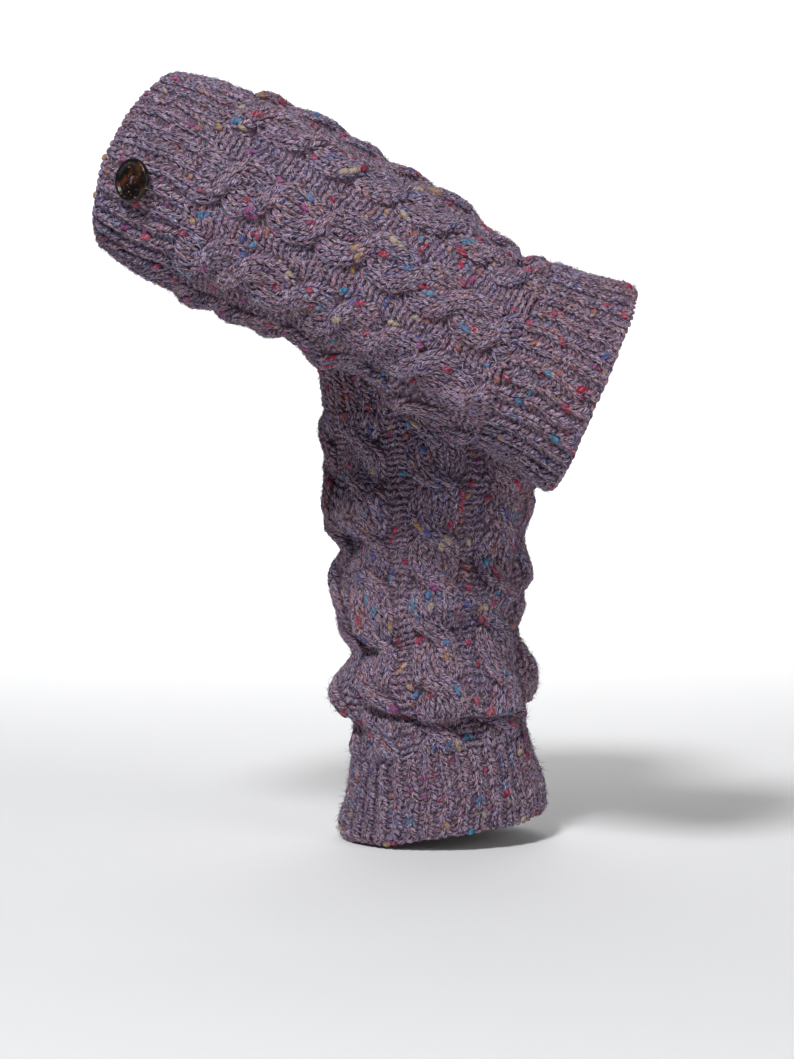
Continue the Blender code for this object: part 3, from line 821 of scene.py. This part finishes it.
class Value:
    # Wraps a socket, and turns + - * / and powers into Math nodes.
    def __init__(self, graph, socket):
        self.graph, self.socket = graph, socket

    def maths(self, operation, first, second=None):
        values = {0: first} if second is None else {0: first, 1: second}
        return self.graph.add("ShaderNodeMath", {"operation": operation}, values)[0]

    def __add__(self, other):
        return self.maths("ADD", self, other)

    def __sub__(self, other):
        return self.maths("SUBTRACT", self, other)

    def __rsub__(self, other):
        return self.maths("SUBTRACT", other, self)

    def __mul__(self, other):
        return self.maths("MULTIPLY", self, other)

    def __truediv__(self, other):
        return self.maths("DIVIDE", self, other)

    def __pow__(self, other):
        return self.maths("POWER", self, other)

    def sine(self):
        return self.maths("SINE", self)

    def absolute(self):
        return self.maths("ABSOLUTE", self)

    def clamped(self):
        return self.maths("MINIMUM", self.maths("MAXIMUM", self, 0.0), 1.0)

    __radd__ = __add__
    __rmul__ = __mul__


class Graph:
    # One material and its nodes.
    def __init__(self, name):
        self.material = bpy.data.materials.new(name)
        self.material.use_nodes = True
        self.tree = self.material.node_tree
        self.shader = self.tree.nodes["Principled BSDF"]

    def add(self, kind, settings=None, values=None):
        # A node with its settings, a number or a link on each named socket, and its outputs.
        node = self.tree.nodes.new(kind)
        for key, setting in (settings or {}).items():
            setattr(node, key, setting)
        for key, value in (values or {}).items():
            self.feed(node.inputs[key], value)
        return [Value(self, socket) for socket in node.outputs if socket.enabled]

    def feed(self, socket, value):
        # A link where the value is worked out by nodes, and else the value itself.
        if isinstance(value, Value):
            self.tree.links.new(value.socket, socket)
        else:
            socket.default_value = value

    def mix(self, factor, first, second, blend="MIX"):
        # Colours: first where factor is 0, second where it is 1.
        first = first if isinstance(first, Value) else (*first, 1.0)
        second = second if isinstance(second, Value) else (*second, 1.0)
        return self.add("ShaderNodeMix", {"data_type": "RGBA", "blend_type": blend},
                        {0: factor, 6: first, 7: second})[0]

    def noise(self, vector, scale=1.0, detail=1.0, rough=0.5, distortion=0.0, dimensions="2D"):
        values = {"Vector": vector, "Scale": scale, "Detail": detail, "Roughness": rough,
                  "Distortion": distortion}
        return self.add("ShaderNodeTexNoise", {"noise_dimensions": dimensions}, values)[0]

    def constants(self, values):
        # Sets shader sockets that don't vary over the surface.
        for key, value in values.items():
            self.shader.inputs[key].default_value = value

    def mapPlace(self, name):
        # The two coordinates of one of the piece's own maps.
        place = self.add("ShaderNodeUVMap", {"uv_map": name})[0]
        return self.add("ShaderNodeSeparateXYZ", None, {0: place})[:2]

    def darken(self, colour, share):
        # The colour times the share.
        return self.mix(1.0, colour, self.combine(share, share, share), "MULTIPLY")

    def tint(self):
        # The mesh's own tint, and its fourth value.
        found = self.add("ShaderNodeAttribute", {"attribute_name": "tint", "attribute_type": "GEOMETRY"})
        return found[0], found[3]

    def combine(self, x, y, z=0.0):
        # A vector of three values.
        return self.add("ShaderNodeCombineXYZ", None, {0: x, 1: y, 2: z})[0]

    def finish(self, colour, roughness, height, strength, distance):
        # Feeds the colour and roughness, and the height by way of a bump.
        values = {"Height": height, "Strength": strength, "Distance": distance}
        self.feed(self.shader.inputs["Base Color"], colour)
        self.feed(self.shader.inputs["Roughness"], roughness)
        self.feed(self.shader.inputs["Normal"], self.add("ShaderNodeBump", None, values)[0])


yarnFinish = {
    "plyTurn": 6.0,  # millimetres in which the two plies wind once round
    # share of painted shade in the groove between the two plies
    "plyGroovePaintedShade": 0.22,
    "lightFibre": (0.60, 0.44, 0.60),
    "hairLine": (0.74, 0.61, 0.74),
    "darkFibre": (0.030, 0.015, 0.034),
    "warmFibre": (0.42, 0.075, 0.135),
    "coolFibre": (0.075, 0.135, 0.33),
    "tanFibre": (0.42, 0.27, 0.13),
    "fibreShares": (0.24, 0.2, 0.24),  # of warm, cool and tan at their strongest
    "streaks": (5.0, 6.6),  # contrast of the broad and the fine streaks
    "lineThin": 16.0,
    "bumpDepth": 0.65 * mm,
    "constants": {"Sheen Weight": 0.14, "Sheen Roughness": 0.45, "Sheen Tint": (0.78, 0.62, 0.82, 1.0),
                  "Specular IOR Level": 0.12},
}


def yarnMaterial():
    # Two plies wind round each length of yarn. Light, dark and coloured fibres streak
    # along them: each is a noise that is drawn out along the yarn, cut at a level. The
    # coloured nubs keep more of their own colour.
    g = Graph("heatherYarn")
    u, v = g.mapPlace("yarn")
    tint, plain = g.tint()
    ply = ((u + v / yarnFinish["plyTurn"]) * (2 * math.pi)).sine().absolute() ** 0.6
    twisted = u * 6.0 + v * 0.5
    fibre = g.noise(g.combine(twisted, v * 0.22), 1.0, 3.0, 0.65)
    fine = g.noise(g.combine(twisted * 2.1 + 9.0, v * 0.4), 1.0, 2.0, 0.6)
    hue = g.noise(g.combine(twisted * 1.3 + 40.0, v * 0.16))
    other = g.noise(g.combine(twisted * 1.4 + 80.0, v * 0.16))
    single = g.noise(g.combine(twisted * 0.7 + 120.0, v * 0.13))
    colour = tint
    levels = (hue - 0.58, 0.40 - hue, other - 0.62)
    for level, share, name in zip(levels, yarnFinish["fibreShares"], ("warmFibre", "coolFibre", "tanFibre")):
        colour = g.mix((level * 7.0).clamped() * plain * share, colour, yarnFinish[name])
    broad, thin = yarnFinish["streaks"]
    streak = ((fibre - 0.52) * broad + (fine - 0.5) * thin) * (plain * 0.65 + 0.35)
    colour = g.mix((streak * 0.85).clamped(), colour, yarnFinish["lightFibre"])
    colour = g.mix((streak * -0.9).clamped(), colour, yarnFinish["darkFibre"])
    # Single hairs: thin bands about a level of the noise, fainter on the nubs.
    for level, most, least, name in ((0.5, 0.7, 0.2, "hairLine"), (0.38, 0.45, 0.3, "darkFibre")):
        line = (1.0 - (single - level).absolute() * yarnFinish["lineThin"]).clamped()
        colour = g.mix(line * (plain * most + least), colour, yarnFinish[name])
    # Painted shade: darker in the groove between the two plies.
    colour = g.darken(colour, 1.0 - (1.0 - ply) * yarnFinish["plyGroovePaintedShade"])
    height = ply * 0.4 + (fibre - 0.5) * 1.3 + (fine - 0.5) * 0.9
    g.finish(colour, 0.97 - ply * 0.1, height, 1.0, yarnFinish["bumpDepth"])
    g.constants(yarnFinish["constants"])
    return g.material


def fibreMaterial():
    # Loose fibres take their colour from the tint, a little lighter here and there.
    g = Graph("looseFibre")
    v = g.mapPlace("yarn")[1]
    along = g.noise(g.combine(v * 0.25, 3.0))
    g.feed(g.shader.inputs["Base Color"], g.mix(along * 0.3, g.tint()[0], (0.50, 0.40, 0.50)))
    g.constants({"Roughness": 0.85, "Sheen Weight": 0.15, "Specular IOR Level": 0.2})
    return g.material


clothFinish = {
    # deep: a dark yarn tone that also serves as painted shade for the cloth between the stitches
    "deep": (0.105, 0.060, 0.100),
    "pale": (0.37, 0.250, 0.36),
    "warm": (0.27, 0.12, 0.17),
    "bumpDepth": 1.2 * mm,
}


def clothMaterial():
    # The backs of the stitches: small bars in staggered rows, in the yarn's tones but leaning to the deep
    # one as painted shade for the cloth seen between the stitches, and darker in the grooves between bars as
    # painted shade.
    g = Graph("knitGround")
    stitch, row = g.mapPlace("knit")
    wave = (stitch * (2 * math.pi)).sine()
    bars = ((row * 2.0 + wave * 0.22) * math.pi).sine().absolute()
    columns = (stitch * math.pi).sine().absolute()
    grain = g.noise(g.combine(stitch * 1.6, row * 3.4), 1.0, 4.0, 0.65)
    tone = g.noise(g.combine(stitch * 0.5, row * 1.0))
    colour = g.mix(((grain - 0.35) * 2.2).clamped(), clothFinish["deep"], clothFinish["pale"])
    colour = g.mix(((tone - 0.55) * 4.0).clamped() * 0.6, colour, clothFinish["warm"])
    # Painted shade: darker in the grooves between the bars and between the columns.
    colour = g.darken(colour, 1.0 - (1.0 - bars * (0.6 + columns * 0.4)) * 0.5)
    g.finish(colour, 0.95, bars * 0.8 + columns * 0.3 + grain * 0.5, 0.9, clothFinish["bumpDepth"])
    g.constants({"Sheen Weight": 0.15, "Specular IOR Level": 0.15})
    return g.material


# The buttons, in millimetres.

button = {
    "segments": 72,
    "dishRings": 26,
    "dishHeight": 2.7,
    "rimSteps": 20,
    "edgeRadius": 13.0,
    "holeRadius": 1.3,
    "holeOffset": 3.2,
    "holeDepth": 2.3,
    "waver": 0.16,  # how far the hand turned face rises and falls
    # radius and height, from the edge of the dish over the rim to the back
    "profile": [(8.4, 2.7), (9.4, 3.0), (10.3, 3.9), (11.2, 4.3), (12.1, 4.1), (12.8, 3.2),
                (13.0, 1.9), (12.6, 0.7), (11.6, 0.0)],
    "backRings": [(11.0, 0.0), (6.0, 0.0), (1.0, 0.0)],
    "frontRimSteps": 12,  # of the rim's steps, those that count as front on the flat map
    "threadRadius": 0.42,
    "stemRadius": 1.3,
    "threadColour": (0.035, 0.022, 0.03),
    "black": (0.006, 0.005, 0.006),
    "deepBrown": (0.016, 0.009, 0.006),
    "brown": (0.095, 0.030, 0.012),
    "tan": (0.42, 0.25, 0.12),
}


def nodeFrame(name):
    # A button solid's own frame: the middle of its back, and the directions of the line
    # through its two holes, the one square to it, and its thickness away from the tube.
    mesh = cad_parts[name].data
    corners = np.zeros(len(mesh.vertices) * 3, np.float32)
    mesh.vertices.foreach_get("co", corners)
    corners = np.unique(np.round(corners.reshape(-1, 3).astype(float), 6), axis=0)
    middle = corners.mean(axis=0)
    thick = np.linalg.svd(corners - middle)[2][2]
    low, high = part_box(name.replace("_button", "_top_rib"))
    thick = thick * np.sign(thick @ (middle - (np.array(low) + np.array(high)) / 2))
    height = (corners - middle) @ thick
    flat = corners - middle - height[:, None] * thick
    inner = flat[np.linalg.norm(flat, axis=1) < 5.0 * mm]  # the corners of the two holes
    across = np.linalg.svd(inner)[2][0]
    across = unit(across - (across @ thick) * thick)
    return middle + thick * height.min(), across, np.cross(thick, across), thick


def placed(points, place):
    # Millimetres in a button's own frame to metres in the model's.
    return place[0] + points @ np.array(place[1:]) * mm


def buttonPiece(name, place):
    # A turned disc: rings run from the dish's middle over the rim to the back's middle. Two
    # wells sink where the holes are, by a soft step of the distance to their middles.
    count, dishHeight = button["segments"], button["dishHeight"]
    profile = np.array(button["profile"])
    at = np.linspace(0, len(profile) - 1, button["rimSteps"])
    steps = np.arange(len(profile), dtype=float)
    rim = stacked([smoothBetween(at, steps, column) for column in profile.T])
    dish = stacked([np.linspace(0.4, 8.1, button["dishRings"]), np.full(button["dishRings"], dishHeight)])
    rings = np.concatenate([dish, rim, button["backRings"]])
    angles = np.arange(count) * 2 * math.pi / count
    x, y = rings[:, :1] * np.cos(angles), rings[:, :1] * np.sin(angles)
    z = np.repeat(rings[:, 1:], count, axis=1)
    for side in (-1, 1):
        away = np.hypot(x - side * button["holeOffset"], y) - button["holeRadius"]
        z = z - button["holeDepth"] * (1 - softStep((away + 0.15) / 0.3)) * (z > 2.0)
    wave = np.sin(2 * angles + 0.8) * 0.6 + np.sin(3 * angles + 2.0) * 0.4
    z = z + button["waver"] * wave * (rings[:, :1] / button["edgeRadius"]) * (z > 0.5)
    grid = stacked([x, y, z]).reshape(-1, 3)
    points = np.concatenate([grid, [[0, 0, dishHeight], [0, 0, 0]]])
    i, j = flatGrid(np.arange(len(rings) - 1), np.arange(count))
    after = (j + 1) % count
    quads = stacked([i * count + j, (i + 1) * count + j, (i + 1) * count + after, i * count + after])
    j = np.arange(count)
    after, endRing = (j + 1) % count, (len(rings) - 1) * count
    triangles = np.concatenate([stacked([j, after, j * 0 + len(grid)]),
                                stacked([endRing + after, endRing + j, j * 0 + len(grid) + 1])])
    # "disc" is the angle in turns and the radius in millimetres.
    radius = np.concatenate([np.repeat(rings[:, 0], count), [0, 0]])
    turn = np.concatenate([np.tile(angles / (2 * math.pi), len(rings)), [0, 0]])
    both = stacked([turn, radius])
    # "OFBake" lays the front out on the left half of a square, and the back on the right.
    isBack = np.arange(len(points)) >= (button["dishRings"] + button["frontRimSteps"]) * count
    isBack[-2] = False
    small = points[:, :2] * 0.24 / (button["edgeRadius"] + 0.2)
    flat = small + np.where(isBack[:, None], [0.75, 0.5], [0.25, 0.5])
    quadFlat = flat[quads]
    cut = isBack[quads].any(axis=1) & ~isBack[quads].all(axis=1)
    quadFlat[cut] = small[quads[cut]] + [0.75, 0.5]
    maps = {"disc": (both[quads], both[triangles]), "OFBake": (quadFlat, flat[triangles])}
    return newPiece(name, placed(points, place), quads, triangles, maps)


def buttonThread(name, place, rng):
    # Two strands bridge the dish from hole to hole, each a flat arch whose ends dive into
    # the holes, and a shank of the same thread runs from the back into the ribs.
    t = np.linspace(-1, 1, 12)
    radius, stemRadius = button["threadRadius"] * mm, button["stemRadius"] * mm
    arch = 2.85 - 2.1 * np.abs(t) ** 5
    strands = np.array([stacked([t * 3.25, side * button["threadRadius"] + 0.12 * t, arch])
                        for side in (-1, 1)])
    shank = stacked([t * 0, t * 0.3, -2.4 + t * 3.0])[None]
    tint = np.tile([*button["threadColour"], 1.0], (2, 1))
    up = np.repeat(place[3][None], 2, axis=0)
    bridge = spindleBatch(placed(strands, place), up, radius, radius, 8, tint, rng)
    stem = spindleBatch(placed(shank, place), place[1][None], stemRadius, stemRadius, 10, tint[:1], rng)
    return spindlePiece(name, [bridge, stem])


def coconutMaterial():
    # Polished shell: black with brown clouds, and short tan grain marks that crowd on the
    # rim. Clouds and marks are noises cut at a level.
    g = Graph("polishedCoconut")
    place = g.add("ShaderNodeTexCoord")[3]
    radius = g.mapPlace("disc")[1]
    stretch = {"Vector": place, "Rotation": (0.4, 0.9, 0.6), "Scale": (1.0, 1.0, 3.2)}
    stretched = g.add("ShaderNodeMapping", None, stretch)[0]
    cloud = g.noise(place, 70.0, 3.0, 0.6, 0.4, "3D")
    grain = g.noise(stretched, 420.0, 3.0, 0.6, dimensions="3D")
    marks = g.noise(stretched, 430.0, dimensions="3D")
    colour = g.mix(((cloud - 0.50) * 7.0).clamped(), button["black"], button["brown"])
    colour = g.mix(((grain - 0.45) * 2.2).clamped() * 0.5, colour, button["deepBrown"])
    onRim = ((radius - 10.5) * 0.7).clamped()
    tan = ((marks - 0.70 + onRim * 0.055) * 24.0).clamped()
    colour = g.mix(tan * 0.85, colour, button["tan"])
    g.finish(colour, 0.2 + grain * 0.2 + tan * 0.25, grain * 0.6 - tan * 0.5, 0.35, 0.25 * mm)
    g.constants({"Specular IOR Level": 0.22, "Coat Weight": 0.12, "Coat Roughness": 0.08})
    return g.material


# The set.

studio = {
    "target": (-0.01786, -0.072, -0.12466),
    "distance": 2.1,
    "elevation": 5.0,
    "sensor": 36,
    # 1059 pixels high, each 0.62 mm wide at the target: lens = sensor distance / that height
    "lens": 36 * 2100 / (1059 * 0.62),
    "floorColour": (0.94, 0.94, 0.945),
    "bend": 1.0,
    "halfWidth": 7.0,
    "front": -4.5,
    "back": 3.2,
    "wallHeight": 3.5,
    # name, place, what it points at, size, power and colour
    "lights": [
        ("key", (-0.62, -1.55, 1.65), (0, -0.05, -0.1), 0.5, 46, (0.97, 0.985, 1.0)),
        ("side", (1.7, -1.5, 0.6), (0, -0.05, -0.1), 1.6, 11.5, (1.0, 0.985, 0.97)),
        ("wash", (0, 1.8, 2.2), (0, 4.0, 0.2), 2.4, 110, (1.0, 1.0, 1.0)),
    ],
    "worldColour": (1.0, 0.97, 0.97, 1.0),
    "worldStrength": 0.03,
}


def addSweep(lowest):
    # A floor that curves up into a backdrop: flat, a quarter circle, then upright.
    bend, back = studio["bend"], studio["back"]
    angles = np.linspace(0, math.pi / 2, 17)
    y = np.concatenate([[studio["front"]], back + bend * np.sin(angles), [back + bend]])
    z = np.concatenate([[0.0], bend - bend * np.cos(angles), [bend + studio["wallHeight"]]]) + lowest
    x = np.array([-studio["halfWidth"], studio["halfWidth"]])
    points = stacked([np.tile(x, len(y)), np.repeat(y, 2), np.repeat(z, 2)])
    i = np.arange(len(y) - 1) * 2
    quads = stacked([i, i + 1, i + 3, i + 2])
    floor = newPiece("studio_floor", points, quads, np.zeros((0, 3), int), {})
    g = Graph("paleFloor")
    g.constants({"Base Color": (*studio["floorColour"], 1.0), "Roughness": 0.85})
    floor.data.materials.append(g.material)


def addLinked(name, data):
    # An object of its own for a light's or camera's data.
    thing = bpy.data.objects.new(name, data)
    bpy.context.scene.collection.objects.link(thing)
    return thing


def addLight(name, place, target, size, power, colour):
    # A round soft light at its place, turned to its target.
    data = bpy.data.lights.new(name, "AREA")
    data.shape, data.size, data.energy, data.color = "DISK", size, power, colour
    light = addLinked(name, data)
    light.location = place
    light.rotation_euler = (Vector(target) - Vector(place)).to_track_quat("-Z", "Y").to_euler()


def addCamera():
    # It looks along +Y at the target, from the elevation above it.
    data = bpy.data.cameras.new("view")
    data.sensor_width, data.lens = studio["sensor"], studio["lens"]
    camera = addLinked("view", data)
    tilt, far = math.radians(studio["elevation"]), studio["distance"]
    x, y, z = studio["target"]
    camera.location = (x, y - far * math.cos(tilt), z + far * math.sin(tilt))
    camera.rotation_euler = (math.pi / 2 - tilt, 0, 0)
    bpy.context.scene.camera = camera


def addStudio(lowest):
    # The sweep just under the lowest point, then the camera, lights and a faint world.
    addSweep(lowest)
    addCamera()
    for light in studio["lights"]:
        addLight(*light)
    world = bpy.data.worlds.new("softWorld")
    world.use_nodes = True
    background = world.node_tree.nodes["Background"]
    background.inputs[0].default_value = studio["worldColour"]
    background.inputs[1].default_value = studio["worldStrength"]
    bpy.context.scene.world = world
    bpy.context.scene.view_settings.view_transform = "Standard"


# The whole pair.

pair = {
    "flatSizes": {"top_rib": (0.39, 0.049), "cables": (0.39, 0.212), "ankle_rib": (0.38, 0.055)},
    "startInset": 0.15,  # rows from a part's edge to its first stitches
    "endInset": 0.4,  # and from its last ones to its end
    "hemInset": 0.8,
    "clothInset": 0.03,
    "mouthInset": 0.06,
}


def triangleCount(piece):
    # Each face makes two triangles fewer than it has corners.
    return sum(len(face.vertices) - 2 for face in piece.data.polygons)


def makeLegWarmer(prefix, leg):
    # Two ribbed bands and the cabled part between them: each is a closed wall of cloth, the
    # stitches laid on it and the loose fibres.
    rng = np.random.default_rng(leg["seed"])
    topEnd, ankleStart, hem = knitting["topRibEnd"], knitting["ankleRibStart"], knitting["lastRow"]
    start, end, inset, mouth = pair["startInset"], pair["endInset"], pair["clothInset"], pair["mouthInset"]
    step = knitting["rowStep"]
    middle = topEnd + start + round((ankleStart - topEnd) / 2 / step) * step
    topStitches = ribStitches(leg, start, topEnd - end, rng) + edgeChain(leg, 0.0, 1, rng)
    cableStitches = [ropeStitches(leg, first, beyond, rng) + gutterStitches(leg, first, beyond, rng)
                     for first, beyond in ((topEnd + start, middle - 0.1), (middle, ankleStart - end))]
    ankleStitches = (ribStitches(leg, ankleStart + start, hem - pair["hemInset"], rng)
                     + edgeChain(leg, hem, -1, rng))
    # name, slot, the solids it stands for, first and last row of the wall, and its stitches
    parts = [
        ("top_rib", "rib_knit", ["top_rib"], mouth, topEnd - inset, [topStitches]),
        ("cables", "cable_knit", ["upper_cables", "lower_cables"], topEnd + inset, ankleStart - inset,
         cableStitches),
        ("ankle_rib", "rib_knit", ["ankle_rib"], ankleStart + inset, hem - mouth, [ankleStitches]),
    ]
    total = 0
    for name, slot, nodes, first, beyond, laid in parts:
        isRib = slot == "rib_knit"
        rowStep = cloth["ribRowStep"] if isRib else cloth["cableRowStep"]
        label = f"{prefix}_{name}"
        wall = finishPiece(clothPiece(label + "_cloth", leg, first, beyond, rowStep, isRib), clothLook)
        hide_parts(*[f"{prefix}_{node}" for node in nodes])
        pieces = [finishPiece(spindlePiece(f"{label}_stitches_{number + 1}", batches), yarnLook)
                  for number, batches in enumerate(laid)]
        hair = spindlePiece(label + "_fibres", looseFibres(leg, first, beyond, rng))
        pieces.append(finishPiece(hair, fibreLook))
        counts = [triangleCount(piece) for piece in [wall] + pieces]
        total += sum(counts)
        print(label, counts, "triangles")
    return total


def makeButton(prefix, leg):
    # The turned disc and the thread that sews it on.
    place = nodeFrame(prefix + "_button")
    disc = finishPiece(buttonPiece(prefix + "_button_disc", place), coconutLook)
    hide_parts(prefix + "_button")
    thread = buttonThread(prefix + "_button_thread", place, np.random.default_rng(leg["seed"] + 1))
    finishPiece(thread, yarnLook)
    return triangleCount(disc) + triangleCount(thread)


addStudio(float(cadBox[0][2]) - 0.0005)
print("studio ready")
yarnLook, clothLook = yarnMaterial(), clothMaterial()
fibreLook, coconutLook = fibreMaterial(), coconutMaterial()
print("materials ready")
total = 0
for prefix, leg in legWarmers.items():
    total += makeLegWarmer(prefix, leg) + makeButton(prefix, leg)
print("in all", total, "triangles")
